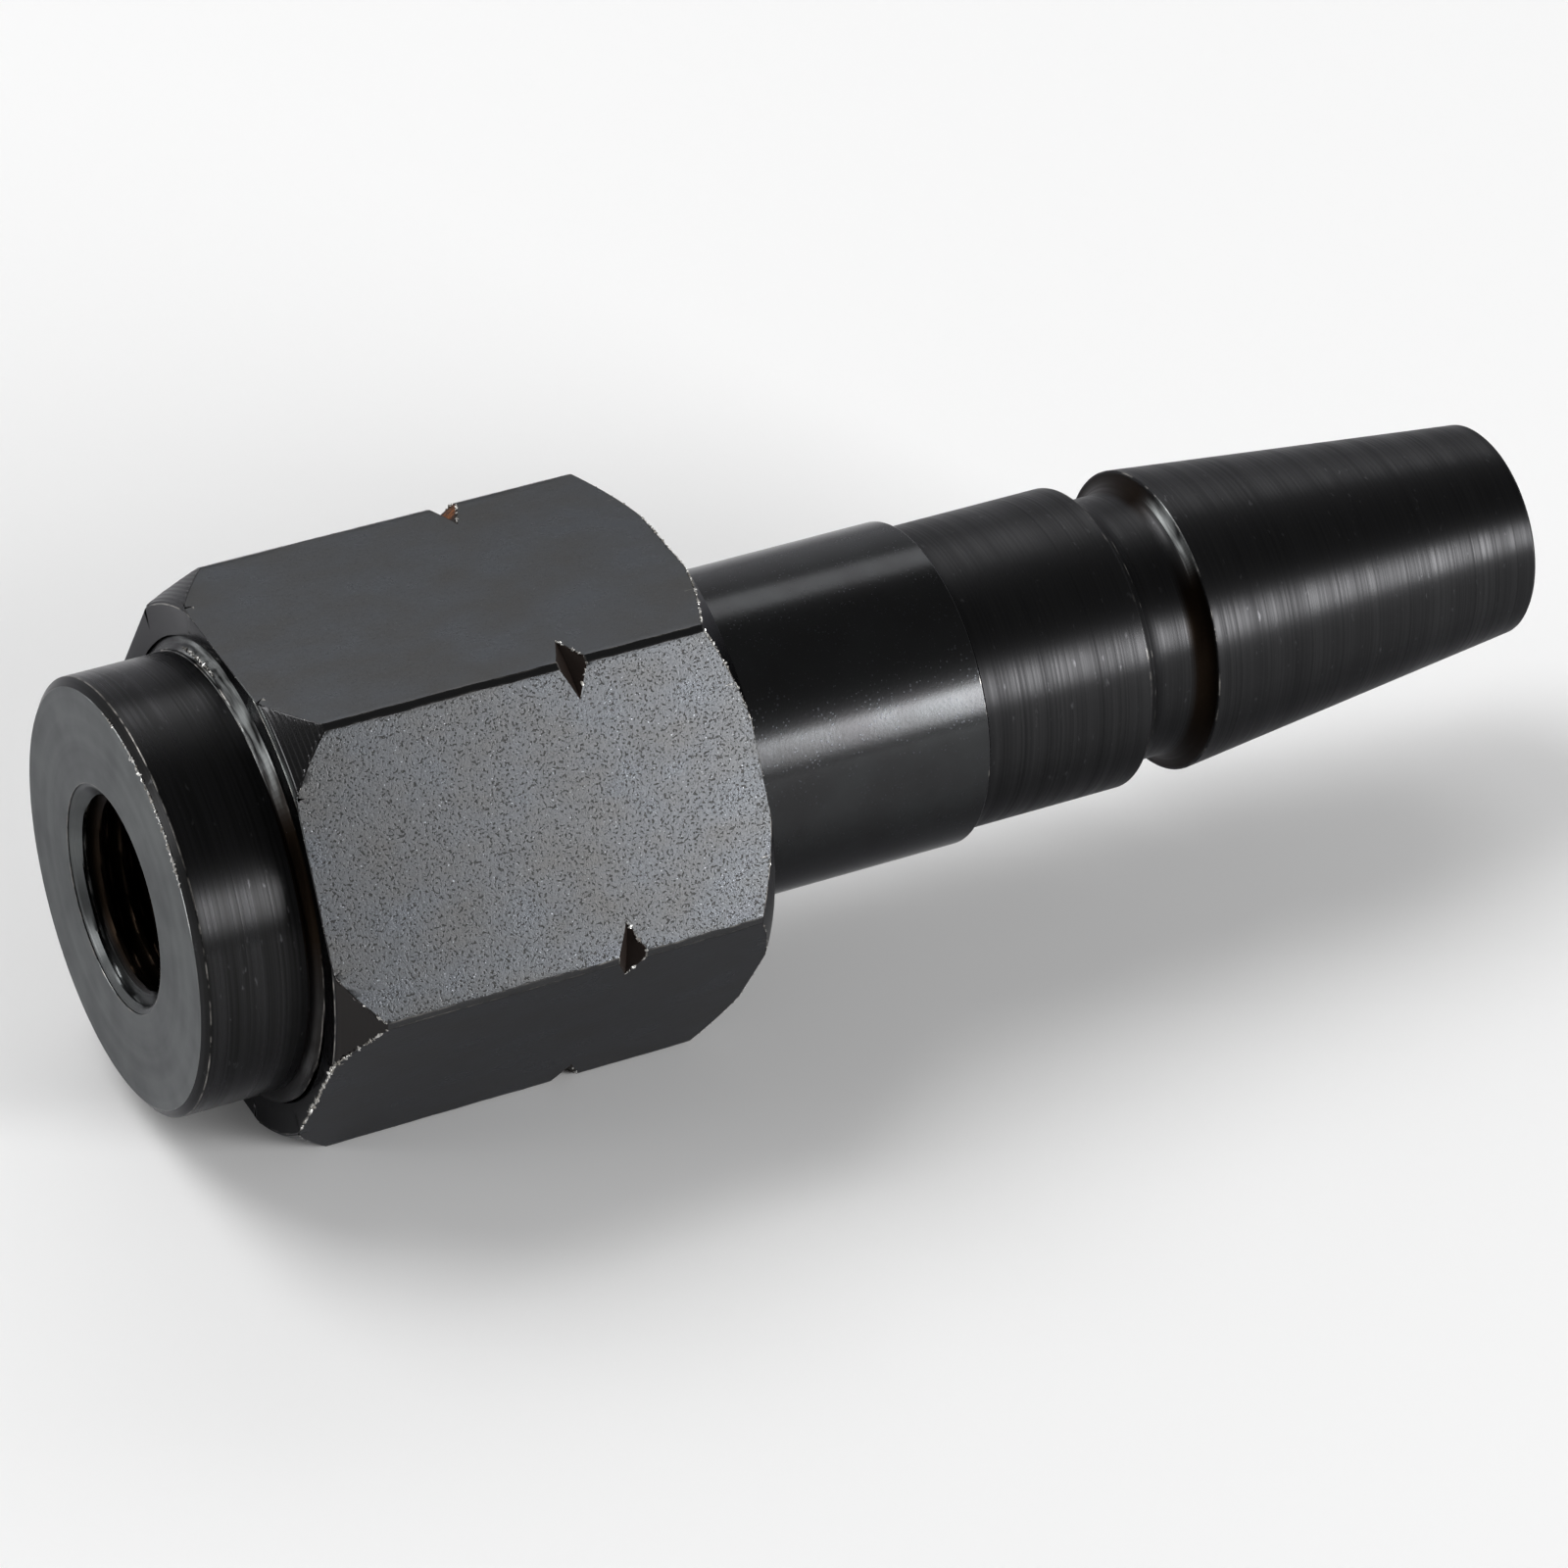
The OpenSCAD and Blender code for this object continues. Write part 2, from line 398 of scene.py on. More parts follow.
def mark_tail(mesh):
    """Marks the tail's wear with painted highlights, its painted shade, and where its film is thin."""

    def wear_and_highlight(x, r, turn):
        """Wear and a painted highlight: the thread's first turn on top, and the front of the face's rim."""
        first_turn = (x > LEAD_X) * (x < LEAD_X + 0.9)
        on_top = 0.55 * window(turn, 94, 40) + 0.1 * window(turn, 215, 40)
        rim = (x < FACE_X + 0.19) * (r > HEAD_R - HEAD_EDGE - 0.08)
        return np.maximum(first_turn * on_top, 4 * rim * window(turn, 116, 44))

    def painted_shade(x, r, turn):
        """Painted shade inside the port, and beside the nut's mouth where the nut shades the head."""
        port = np.clip((x - FACE_X - 0.9) / 0.3, 0, 1) * (r < PORT_ROOT_R + 0.05)
        beside_nut = np.clip((x - LEAD_X + 1.3) / 0.9, 0, 1) * (r > SEAT_R)
        return np.maximum(port, beside_nut * np.maximum(window(turn, 150, 34), 0.45 * window(turn, 212, 60)))

    def thin(x, r, turn):
        """The faced end, and less so the countersink."""
        return np.maximum(x < FACE_X + 0.03, 0.6 * (x < FACE_X + 1.05) * (r < PORT_MOUTH_R))

    write_on_faces(mesh, "wear_and_highlight", wear_and_highlight)
    write_on_faces(mesh, "painted_shade", painted_shade)
    write_on_faces(mesh, "thin", thin)


def hexagon_side(from_flat):
    """Radius of the hexagon bar's side at an angle in degrees from the middle of a flat."""
    return FLAT_R / np.cos(np.radians(from_flat))


def mouth_fall(r):
    """How far the nut's turned mouth falls back at a radius: a flat face, a round rim and the chamfer."""
    over = np.clip(r - (MOUTH_FACE_R - MOUTH_ROUND), 0, 2 * MOUTH_ROUND)
    return MOUTH_RUN * (over ** 2 / (4 * MOUTH_ROUND) + np.clip(r - MOUTH_FACE_R - MOUTH_ROUND, 0, None))


def notch_reach(r):
    """Half the width of the V groove at a radius."""
    return np.clip(r - NOTCH_R, 0, None) * NOTCH_RUN


def exit_station(r):
    """Where the nut's turned exit lies at a radius: its flat face and the chamfer."""
    return NUT_END - np.clip(r - EXIT_FACE_R, 0, None) * EXIT_RUN


def nut_columns():
    """Degrees from the middle of a flat for the columns over it, with one wherever an edge turns."""
    step, last = 1.1, 28.6
    breaks = [math.degrees(math.acos(FLAT_R / edge_r)) for edge_r in (MOUTH_FACE_R, EXIT_FACE_R, NOTCH_R)]
    half = sorted(set([round(a, 4) for a in list(np.arange(0, last, step)) + breaks]))
    half += [(half[-1] + CORNER_TURN) / 2, CORNER_TURN]
    return sorted([-a for a in half if a > 0] + half) + [SHARP_TURN]


def make_nut():
    """The union nut: hexagon bar with turned ends, turned corners and a V groove, and a threaded bore."""
    across = nut_columns()
    from_flat = np.array(across * FLATS)
    middle = np.repeat(SHARP_TURN + FLAT_TURN * np.arange(FLATS), len(across))
    rows = nut_outside(from_flat, middle) + nut_inside(np.radians(middle + from_flat))
    mesh = wrapped_mesh("nut_milled", *(np.array([row[i] for row in rows]) for i in range(3)))
    weigh_outside_edges(mesh)
    piece = finished_piece("nut_milled", mesh, bevel=FINE)
    mark_turned_faces(piece.data)
    mark_nut(piece.data)
    return piece


def corner_shift(station, column):
    """How many degrees a turned corner's edge strays at a station, because the drawn flats are uneven."""
    slow = noise.noise(Vector((station * 0.45, column * 7.3, 1.7)))
    quick = noise.noise(Vector((station * 1.6, column * 3.1, 5.2)))
    return CORNER_WAVE * (slow + 0.5 * quick)


def nut_outside(from_flat, middle):
    """Rows of stations, radii and angles over the nut's outside, from its mouth to its exit."""
    on_corner = np.isclose(np.abs(from_flat), CORNER_TURN)
    level = np.ones(len(from_flat))
    rim_r = MOUTH_FACE_R - MOUTH_ROUND
    chamfer_end = NUT_X + MOUTH_CHAMFER

    def side(station):
        """Angles and radii of the bar's sides and turned corners at a station."""
        shift = [corner_shift(station, i) if turned else 0.0 for i, turned in enumerate(on_corner)]
        placed = from_flat + np.array(shift)
        side_r = np.where(on_corner, hexagon_side(placed), np.minimum(hexagon_side(from_flat), CORNER_R))
        return np.radians(middle + placed), side_r

    turn, side_r = side(chamfer_end)
    rows = [(NUT_X * level, np.minimum(side_r, rim_r), turn)]
    # Turning ridges on the mouth chamfer, about 0.3 mm from crest to crest
    for k in range(1, RIDGE_ROWS):
        ring_r = rim_r + (CORNER_R - rim_r) * k / RIDGE_ROWS
        r = np.minimum(side_r, ring_r)
        lift = np.where(side_r > ring_r, RIDGE_HEIGHT * math.sin(k * TAU / ROWS_TO_A_RIDGE), 0.0)
        rows.append((NUT_X + mouth_fall(r) - lift, r, turn))
    mouth_x = NUT_X + mouth_fall(side_r)
    rows.append((mouth_x, side_r, turn))
    for share in np.linspace(0, 1, 34)[1:-1]:
        turn, r = side(chamfer_end + (NOTCH_X - chamfer_end) * share)
        rows.append((mouth_x + (NOTCH_X - notch_reach(r) - mouth_x) * share, r, turn))
    turn, side_r = side(NOTCH_X)
    rows.append((NOTCH_X - notch_reach(side_r), side_r, turn))
    rows.append((NOTCH_X * level, np.minimum(side_r, NOTCH_R), turn))
    rows.append((NOTCH_X + notch_reach(side_r), side_r, turn))
    for share in np.linspace(0, 1, 16)[1:-1]:
        turn, r = side(NOTCH_X + (NUT_END - NOTCH_X) * share)
        start_x = NOTCH_X + notch_reach(r)
        rows.append((start_x + (exit_station(r) - start_x) * share, r, turn))
    turn, side_r = side(NUT_END)
    rows.append((exit_station(side_r), side_r, turn))
    rows.append((NUT_END * level, np.minimum(side_r, EXIT_FACE_R), turn))
    return rows


def nut_inside(turn):
    """Rows over the nut's inside: the shank's hole, the shoulder, the collar's chamber and the thread."""
    level = np.ones(len(turn))
    hole_r = SHANK_R + LOOSE
    chamber_r = COLLAR_R + LOOSE
    chamber_x = TAIL_END + UNION_PITCH
    bore_r = THREAD_R + THREAD_GAP
    corners = (
        (NUT_END, hole_r + EXIT_EDGE), (NUT_END - EXIT_EDGE, hole_r), (SHOULDER_X, hole_r),
        (SHOULDER_X, chamber_r), (chamber_x, chamber_r), (chamber_x, bore_r), (TAIL_END + 0.3, bore_r),
    )
    rows = [(x * level, r * level, turn) for x, r in corners]
    # The female thread is the male one's opposite, with a little more room
    stations = np.arange(TAIL_END + 0.2, NUT_X + 0.02, -0.2)
    phase = (stations[:, None] / UNION_PITCH + turn[None, :] / TAU) % 1.0
    from_crest = np.clip(np.abs(phase - 0.5) * UNION_PITCH - 0.12, 0, None)
    fall = np.clip((from_crest - UNION_PITCH / 16) / math.tan(METRIC_FLANK), 0, UNION_DEPTH - 0.1)
    for station, drop in zip(stations, fall):
        sink = max(0.0, MOUTH_SINK - (station - NUT_X))
        rows.append((station * level, np.maximum(bore_r - drop, THREAD_R - 0.6 + sink * 3), turn))
    rows.append((NUT_X * level, (bore_r + MOUTH_SINK) * level, turn))
    return rows


def mark_nut(mesh):
    """Marks the nut's wear, painted highlight and shade, each flat's pits, and its broken edges."""

    def wear_and_highlight(x, r, turn):
        """Wear and a painted highlight on the mouth's face beside the upper front corner."""
        return 0.7 * (x < NUT_X + 0.16) * (r > MOUTH_FACE_R - 0.9) * window(turn, 118, 34)

    def painted_shade(x, r, turn):
        """Painted shade on the mouth chamfer of the front corner, darkening its reflection."""
        return 0.5 * (x < NUT_X + mouth_fall(r) + 0.06) * (r > MOUTH_FACE_R) * window(turn, 180, 30)

    def notch_shade(x, r, turn):
        """Painted shade on the walls of the notches."""
        away = np.abs(x - NOTCH_X)
        return (away < NOTCH_HALF - 0.05) * (r > NOTCH_R - 0.1) * (away < (r - NOTCH_R) * NOTCH_RUN + 0.05)

    def exit_shade(x, r, turn):
        """Painted shade on the exit chamfer: its reflection's sheen is turned down."""
        chamfer = np.abs(x - NUT_END + (r - EXIT_FACE_R) * EXIT_RUN) < 0.07
        return (r > EXIT_FACE_R - 0.05) * chamfer

    def broken(x, r, turn):
        """Everything but the turning ridges and the flat ends, whose narrow faces aren't broken edges."""
        rim = (x < NUT_X + 0.02) & (r > MOUTH_FACE_R - 0.3)
        before_exit = (x < NUT_END - 0.01) | (r > EXIT_FACE_R - 0.08)
        return rim | ((x > NUT_X + mouth_fall(r) + 0.06) & before_exit)

    def pits_and_shade(x, r, turn):
        """A share for each flat, from the upper back one over the top to the lower back one."""
        # Painted shade and glints: the shares follow how plainly each flat's pits and flecks show under this
        # light
        shares = (0.5, 0.2, 1.0, 0.15, 0.7, 0.6)
        return np.take(shares, (turn // FLAT_TURN).astype(int) % FLATS)

    write_on_faces(mesh, "wear_and_highlight", wear_and_highlight)
    write_on_faces(mesh, "painted_shade", painted_shade)
    write_on_faces(mesh, "notch_shade", notch_shade)
    write_on_faces(mesh, "exit_shade", exit_shade)
    write_on_faces(mesh, "pits_and_shade", pits_and_shade)
    keep_on_faces(mesh, "edge", broken)


def weigh_outside_edges(mesh):
    """Bevel weights for the nut's outside edges, which tumbling and handling break by a few hundredths.

    The crests of the ridges on the mouth chamfer stay as the tool left them.
    """
    outside_r = (THREAD_R + 0.4) * MM
    least_bend = math.radians(14)
    work = bmesh.new()
    work.from_mesh(mesh)
    weight = work.edges.layers.float.new("bevel_weight_edge")
    for side in work.edges:
        if side.is_convex and side.calc_face_angle(0.0) > least_bend:
            outside = min(math.hypot(v.co.y, v.co.z) for v in side.verts) > outside_r
            before_notch = side.verts[0].co.x < NOTCH_X * MM
            ridge = before_notch and all(face.normal.x < -0.1 for face in side.link_faces)
            side[weight] = 1.0 if outside and not ridge else 0.0
    work.to_mesh(mesh)
    work.free()


def mark_turned_faces(mesh):
    """Writes the attribute turned: 0 on the drawn flats of the bar, 1 on every face that the lathe cut."""
    count = len(mesh.polygons)
    normals = np.empty(count * 3)
    centres = np.empty(count * 3)
    mesh.polygons.foreach_get("normal", normals)
    mesh.polygons.foreach_get("center", centres)
    normals = normals.reshape(-1, 3)
    centres = centres.reshape(-1, 3) / MM
    square_on = 0.9995
    drawn = np.zeros(count, dtype=bool)
    for flat in range(FLATS):
        a = math.radians(SHARP_TURN + FLAT_TURN * flat)
        way = np.array([0, math.cos(a), math.sin(a)])
        drawn |= (normals @ way > square_on) & (centres @ way > FLAT_R - 0.05)
    mesh.attributes.new("turned", "FLOAT", "FACE").data.foreach_set("value", (~drawn).astype(float))


def window(turn, middle, half):
    """1 at an angle, falling to 0 at half that many degrees on both sides."""
    away = np.abs((turn - middle + 180) % 360 - 180)
    return np.clip(1.6 * (1 - away / half), 0, 1)


def write_on_faces(mesh, name, rule):
    """Writes a face attribute by a rule on stations and radii in millimetres and angles in degrees."""
    centres = np.empty(len(mesh.polygons) * 3)
    mesh.polygons.foreach_get("center", centres)
    x, y, z = centres.reshape(-1, 3).T / MM
    values = rule(x, np.hypot(y, z), np.degrees(np.arctan2(z, y)) % 360)
    written = mesh.attributes.new(name, "FLOAT", "FACE")
    written.data.foreach_set("value", np.ascontiguousarray(values, dtype=float))


def keep_on_faces(mesh, name, rule):
    """Clears a face attribute wherever a rule on station, radius and angle doesn't hold."""
    values = np.empty(len(mesh.polygons))
    mesh.attributes[name].data.foreach_get("value", values)
    write_on_faces(mesh, "kept", rule)
    kept = np.empty(len(mesh.polygons))
    mesh.attributes["kept"].data.foreach_get("value", kept)
    mesh.attributes[name].data.foreach_set("value", values * kept)
    mesh.attributes.remove(mesh.attributes["kept"])


# Burrs, which repeat along the torn edges


def add(tree, kind, inputs=None, out=0, **settings):
    """Adds one node with its settings, sets or links its inputs, and gives the output that is asked for."""
    made = tree.nodes.new(kind)
    for key, value in settings.items():
        setattr(made, key, value)
    for key, value in (inputs or {}).items():
        if isinstance(value, bpy.types.NodeSocket):
            tree.links.new(value, made.inputs[key])
        else:
            made.inputs[key].default_value = value
    return made.outputs[out]


def torn_edge_tree():
    """Geometry nodes: shards of torn metal along every path, more of them where its torn value is higher."""
    tree = bpy.data.node_groups.new("torn_edge", "GeometryNodeTree")
    sockets = tree.interface
    sockets.new_socket("Geometry", in_out="INPUT", socket_type="NodeSocketGeometry")
    for name, kind, value in (
        ("Spacing", "NodeSocketFloat", 0.1 * MM), ("Smallest", "NodeSocketFloat", 0.04 * MM),
        ("Largest", "NodeSocketFloat", 0.34 * MM), ("Seed", "NodeSocketInt", 0),
        ("Metal", "NodeSocketMaterial", None),
    ):
        socket = sockets.new_socket(name, in_out="INPUT", socket_type=kind)
        if value is not None:
            socket.default_value = value
    sockets.new_socket("Geometry", in_out="OUTPUT", socket_type="NodeSocketGeometry")
    given = tree.nodes.new("NodeGroupInput").outputs
    seed = given["Seed"]
    curve = add(tree, "GeometryNodeMeshToCurve", {"Mesh": given["Geometry"]})
    spaced = add(
        tree, "GeometryNodeResampleCurve", {"Curve": curve, "Length": given["Spacing"]}, mode="LENGTH",
    )
    torn = add(tree, "GeometryNodeInputNamedAttribute", {"Name": "torn"}, data_type="FLOAT")
    chance = add(tree, "FunctionNodeRandomValue", {2: 0.0, 3: 1.0, "Seed": seed}, out=1, data_type="FLOAT")
    chosen = add(tree, "FunctionNodeCompare", {0: chance, 1: torn}, data_type="FLOAT", operation="LESS_THAN")
    shard = add(tree, "GeometryNodeMeshIcoSphere", {"Radius": 0.5, "Subdivisions": 1})
    thin = add(tree, "GeometryNodeTransform", {"Geometry": shard, "Scale": (1.0, 0.55, 0.3)})
    twist = add(
        tree, "FunctionNodeRandomValue", {0: (0, 0, 0), 1: (TAU, TAU, TAU), "Seed": seed},
        data_type="FLOAT_VECTOR",
    )
    size = add(
        tree, "FunctionNodeRandomValue", {2: given["Smallest"], 3: given["Largest"], "Seed": seed},
        out=1, data_type="FLOAT",
    )
    torn_size = add(tree, "ShaderNodeMath", {0: size, 1: torn}, operation="MULTIPLY")
    shards = add(
        tree, "GeometryNodeInstanceOnPoints",
        {"Points": spaced, "Selection": chosen, "Instance": thin, "Rotation": twist, "Scale": torn_size},
    )
    real = add(tree, "GeometryNodeRealizeInstances", {"Geometry": shards})
    finished = add(tree, "GeometryNodeSetMaterial", {"Geometry": real, "Material": given["Metal"]})
    result = tree.nodes.new("NodeGroupOutput")
    tree.links.new(finished, result.inputs[0])
    return tree


def torn_edges(name, tree, paths, metal, seed):
    """One plain mesh of shards along paths of (x, r, angle, torn) points in millimetres and radians."""
    points, lines, torn = [], [], []
    for path in paths:
        first = len(points)
        points += [(x * MM, r * math.cos(a) * MM, r * math.sin(a) * MM) for x, r, a, _ in path]
        lines += [(first + i, first + i + 1) for i in range(len(path) - 1)]
        torn += [point[3] for point in path]
    mesh = bpy.data.meshes.new(name + "_paths")
    mesh.from_pydata(points, lines, [])
    mesh.attributes.new("torn", "FLOAT", "POINT").data.foreach_set("value", torn)
    carrier = bpy.data.objects.new(name + "_paths", mesh)
    bpy.context.scene.collection.objects.link(carrier)
    scatter = carrier.modifiers.new("torn_edge", "NODES")
    scatter.node_group = tree
    inputs = [item for item in tree.interface.items_tree if item.in_out == "INPUT"]
    identifiers = {item.name: item.identifier for item in inputs}
    scatter[identifiers["Metal"]] = metal
    scatter[identifiers["Seed"]] = seed
    bpy.context.view_layer.update()
    shards = bpy.data.meshes.new_from_object(carrier.evaluated_get(bpy.context.evaluated_depsgraph_get()))
    bpy.data.objects.remove(carrier)
    shards.name = name
    piece = bpy.data.objects.new(name, shards)
    bpy.context.scene.collection.objects.link(piece)
    return piece


def patchy(place, share, most):
    """A torn value that comes and goes along an edge: about the given share of it is torn, up to a most."""
    lump = 0.5 + 0.9 * noise.noise(Vector(place) * 1.1)
    return max(0.0, min(most, (lump - 1 + share) * 5))


def nut_burr_paths():
    """The nut's torn edges: the walls of its notches, the ends of its flats, and the exit edge."""
    paths = []
    for k in range(FLATS):
        for way in (-1, 1):
            mouth, leaving, notch = [], [], []
            for a in np.arange(0, CORNER_TURN, 0.4):
                r = hexagon_side(a)
                degrees = FLAT_TURN * k + way * (SHARP_TURN - a)
                turn = math.radians(degrees)
                ragged = 0.09 * noise.noise(Vector((a * 0.9, k * 5.1, way)))
                # Worst on the mouth's edge under the front corner and on the exit edge of the top flat
                low = float(window(degrees, 202, 34))
                mouth_x = NUT_X + float(mouth_fall(r)) + ragged * low
                mouth.append((mouth_x, r, turn, patchy((a, k, way), 0.4 + 0.6 * low, 0.5 + low)))
                top = float(window(degrees, 106, 44))
                exit_torn = patchy((k, a, way), 0.5 + 0.4 * top, 0.65 + 0.45 * top)
                leaving.append((float(exit_station(r)), r, turn, exit_torn))
                if r > NOTCH_R:
                    wall_x = NOTCH_X + float(notch_reach(r))
                    notch.append((wall_x, r, turn, patchy((way, k, a), 0.7, 1.2)))
            paths += [mouth, leaving, notch]
    return paths


def tail_burr_paths():
    """The tail's torn edges: the start of its thread, most at the top, and its face's rim, most in front."""
    start, rim = [], []
    for degrees in range(0, 361, 2):
        a = math.radians(degrees)
        torn = patchy((degrees / 12, 2, 0), 0.9 * float(window(degrees, 84, 22)), 1.3)
        start.append((LEAD_X + 0.1, THREAD_R - 0.5, a, torn))
        front = float(window(degrees, 120, 46))
        worn = patchy((degrees / 9, 0, 4), 0.3 + 0.6 * front, 0.5 + 0.8 * front)
        rim.append((FACE_X + 0.02, HEAD_R - HEAD_EDGE, a, worn))
    return [start, rim]


# Materials


def material(name):
    """An empty node material with its shader."""
    made = bpy.data.materials.new(name)
    made.use_nodes = True
    tree = made.node_tree
    tree.nodes.clear()
    output = tree.nodes.new("ShaderNodeOutputMaterial")
    shader = tree.nodes.new("ShaderNodeBsdfPrincipled")
    tree.links.new(shader.outputs[0], output.inputs[0])
    return made, tree, shader


def grain(tree, along, across, detail, shift=0.0):
    """Noise on the piece itself, with grains of a real size in millimetres along the axis and across it."""
    place = add(tree, "ShaderNodeTexCoord", out="Object")
    scale = (1 / (along * MM), 1 / (across * MM), 1 / (across * MM))
    moved = {"Vector": place, "Location": (shift, shift, shift), "Scale": scale}
    spread = add(tree, "ShaderNodeMapping", moved)
    return add(tree, "ShaderNodeTexNoise", {"Vector": spread, "Scale": 1.0, "Detail": detail})


def patches(tree, size, limits, detail, shift=0.0, **settings):
    """Patches of a grain: a share of 0 where its noise is at the first limit and of 1 at the second."""
    pattern = grain(tree, *size, detail, shift)
    first, second = limits
    return add(
        tree, "ShaderNodeMapRange", {"Value": pattern, "From Min": first, "From Max": second}, **settings,
    )


def wear_highlight_and_shade(tree, film, wear_highlight_metal):
    """The film, pale in streaks where marked for wear and painted highlight, near black for painted shade.
    """
    streaks = patches(tree, (0.22, 3.0), (0.4, 0.66), 2.0, 5.5)
    # Painted highlight with wear: marked faces turn to pale steel in streaks
    wear_and_highlight = add(tree, "ShaderNodeAttribute", out="Fac", attribute_name="wear_and_highlight")
    share = add(tree, "ShaderNodeMath", {0: wear_and_highlight, 1: streaks}, operation="MULTIPLY", use_clamp=True)
    bright = add(tree, "ShaderNodeMix", {0: share, 6: film, 7: linear(wear_highlight_metal)}, **COLOURS)
    # Painted shade: marked faces turn to near black
    painted_shade = add(tree, "ShaderNodeAttribute", out="Fac", attribute_name="painted_shade")
    return add(tree, "ShaderNodeMix", {0: painted_shade, 6: bright, 7: linear("#1a140f")}, **COLOURS)


def worn_share(tree, low, high):
    """Where an edge has lost its oxide: on the edge attribute, in patches about a millimetre long."""
    edge = add(tree, "ShaderNodeAttribute", out="Fac", attribute_name="edge")
    patch = patches(tree, (0.9, 0.9), (low, high), 3.0, 3.7)
    return add(tree, "ShaderNodeMath", {0: edge, 1: patch}, operation="MULTIPLY")


def link_all(tree, shader, **sockets):
    """Links values to the shader's inputs, whose names have an underscore here for each space."""
    for key, value in sockets.items():
        tree.links.new(value, shader.inputs[key.replace("_", " ")])


def thin_film(tree):
    """The thinner and greyer oxide of a faced end, cloudy, with faint rings from the facing tool."""
    place = add(tree, "ShaderNodeTexCoord", out="Object")
    crosswise = add(tree, "ShaderNodeVectorMath", {0: place, 1: (0, 1, 1)}, operation="MULTIPLY")
    radius = add(tree, "ShaderNodeVectorMath", {0: crosswise}, out="Value", operation="LENGTH")
    ring_width = 0.7 * MM
    rings = add(
        tree, "ShaderNodeTexNoise", {"W": radius, "Scale": 1 / ring_width, "Detail": 2.0},
        noise_dimensions="1D",
    )
    clouds = add(tree, "ShaderNodeMix", {0: 0.75, 2: rings, 3: grain(tree, 2.4, 2.4, 4.0, 4.4)})
    faint = add(tree, "ShaderNodeMapRange", {"Value": clouds, "From Min": 0.36, "From Max": 0.64})
    return add(tree, "ShaderNodeMix", {0: faint, 6: linear("#5d5f60"), 7: linear("#6e7171")}, **COLOURS)


def turned_oxide(name, dark, light, roughness, worn_from):
    """Mild steel, turned and black oxided: an oiled black film over fine lathe lines.

    The lines run round the axis, so a lamp draws one band along it, broken into streaks. Real lathe lines
    are 0.05 to 0.1 mm apart. They are drawn about 0.15 mm apart, so that they show. On faces marked as
    thin, such as a faced end, the film is thinner and greyer, with faint rings.
    """
    made, tree, shader = material(name)
    shader.inputs["Metallic"].default_value = 1.0
    shader.inputs["Specular Tint"].default_value = linear(OXIDE_SHEEN)
    shader.inputs["Anisotropic"].default_value = 0.8
    shader.inputs["Anisotropic Rotation"].default_value = 0.25
    tangent = add(tree, "ShaderNodeTangent", direction_type="RADIAL", axis="X")
    fine = grain(tree, 0.15, 30, 1.0)
    broad = grain(tree, 0.9, 26, 3.0, 1.3)
    lines = add(tree, "ShaderNodeMix", {0: 0.45, 2: fine, 3: broad})
    streak = add(tree, "ShaderNodeMapRange", {"Value": lines, "From Min": 0.34, "From Max": 0.66})
    rough_low, rough_high = roughness
    rough = add(tree, "ShaderNodeMapRange", {"Value": streak, "To Min": rough_high, "To Max": rough_low})
    film = add(tree, "ShaderNodeMix", {0: streak, 6: linear(dark), 7: linear(light)}, **COLOURS)
    scuff = patches(tree, (0.35, 0.9), (0.66, 0.76), 4.0, 3.3)
    scuffed = add(tree, "ShaderNodeMix", {0: scuff, 6: film, 7: linear("#48484a")}, **COLOURS)
    faced = add(tree, "ShaderNodeAttribute", out="Fac", attribute_name="thin")
    skin = add(tree, "ShaderNodeMix", {0: faced, 6: scuffed, 7: thin_film(tree)}, **COLOURS)
    worn = worn_share(tree, worn_from, worn_from + 0.24)
    surface_colour = add(tree, "ShaderNodeMix", {0: worn, 6: skin, 7: linear(WORN_STEEL)}, **COLOURS)
    # Pale steel for wear with a painted highlight, and painted shade, where the faces are marked for them
    colour = wear_highlight_and_shade(tree, surface_colour, "#c6caca")
    bump = add(tree, "ShaderNodeBump", {"Strength": 1.0, "Distance": 0.0035 * MM, "Height": streak})
    link_all(tree, shader, Base_Color=colour, Roughness=rough, Normal=bump, Tangent=tangent)
    return made


